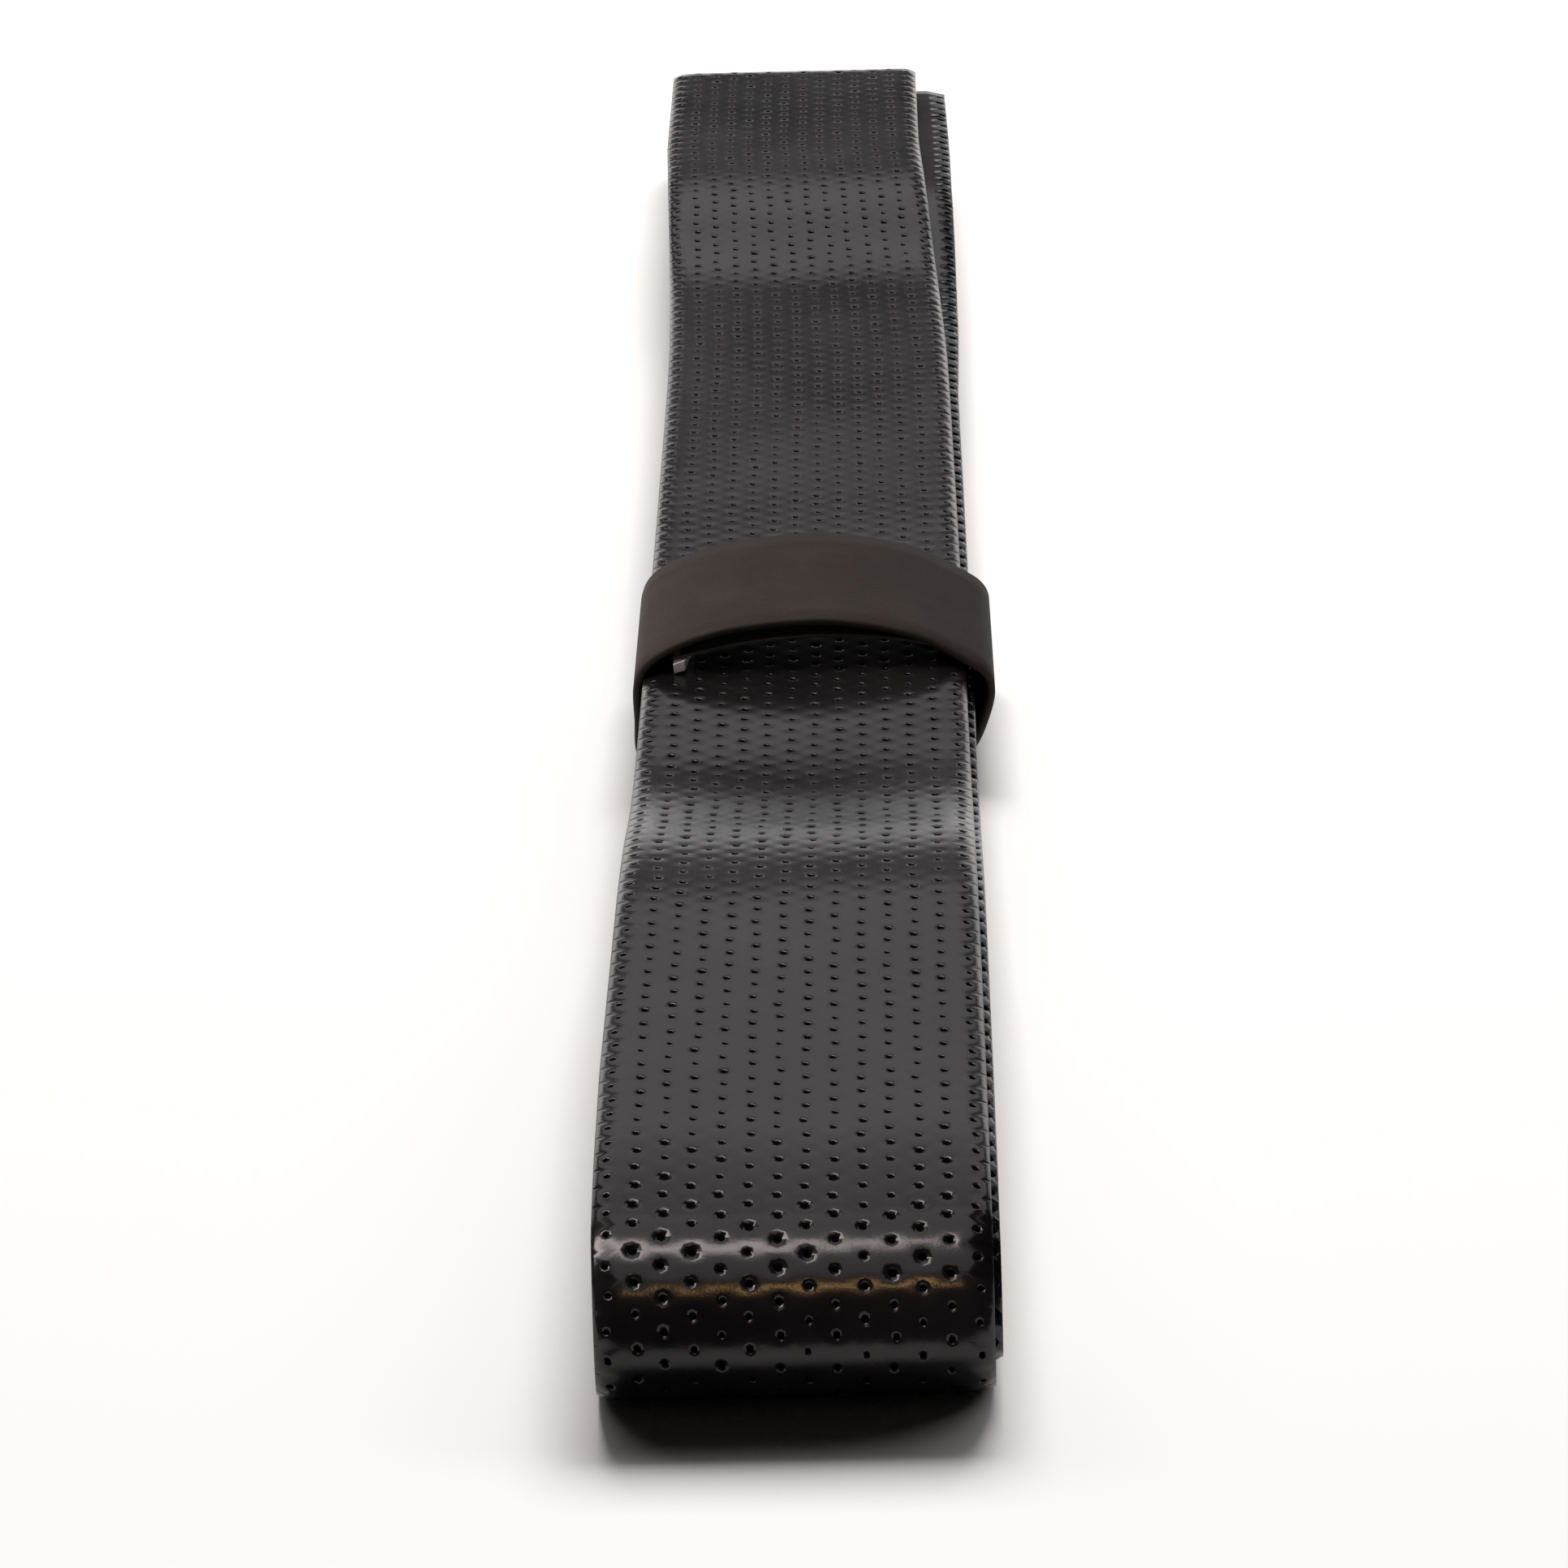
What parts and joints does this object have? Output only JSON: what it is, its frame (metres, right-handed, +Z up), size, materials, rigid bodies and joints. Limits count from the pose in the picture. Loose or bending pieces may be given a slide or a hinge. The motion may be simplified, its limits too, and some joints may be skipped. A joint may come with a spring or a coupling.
{
  "type": "grip tape roll",
  "caption": "Perforated racket grip tape wound flat in two turns, held by a wide rubber collar with a finishing tape curled under it.",
  "frame": {"origin": "centre of the bounding box on its bottom, on the surface that the roll lies on", "axes": "+Z up, +Y along the roll from its near fold to its far fold, +X across the tape to the right"},
  "size_m": [0.0282, 0.276, 0.0125],
  "materials": {
    "grip_skin": "satin perforated polyurethane, charcoal black",
    "grip_cushion": "dark soft foam",
    "adhesive": "pale pressure-sensitive adhesive",
    "release_film": "smooth pale release film",
    "collar_rubber": "matte warm grey-brown rubber",
    "finishing_film": "thin black film",
    "finishing_liner": "white paper liner"
  },
  "bodies": {
    "roll": {"grip_skin": "grip_skin", "grip_cushion": "grip_cushion", "adhesive_strip": "adhesive", "release_film": "release_film"},
    "collar": {"rubber_collar": "collar_rubber"},
    "finishing_tape": {"finishing_tape_film": "finishing_film", "finishing_tape_adhesive": "adhesive", "finishing_tape_liner": "finishing_liner"}
  },
  "joints": [
    {"name": "collar_slide", "type": "slide", "parent": "roll", "child": "collar", "axis": [0, 1, 0], "range_m": [-0.003, 0.05]},
    {"name": "finishing_tape_slide", "type": "slide", "parent": "roll", "child": "finishing_tape", "axis": [0, 1, 0], "range_m": [-0.003, 0.05]}
  ]
}
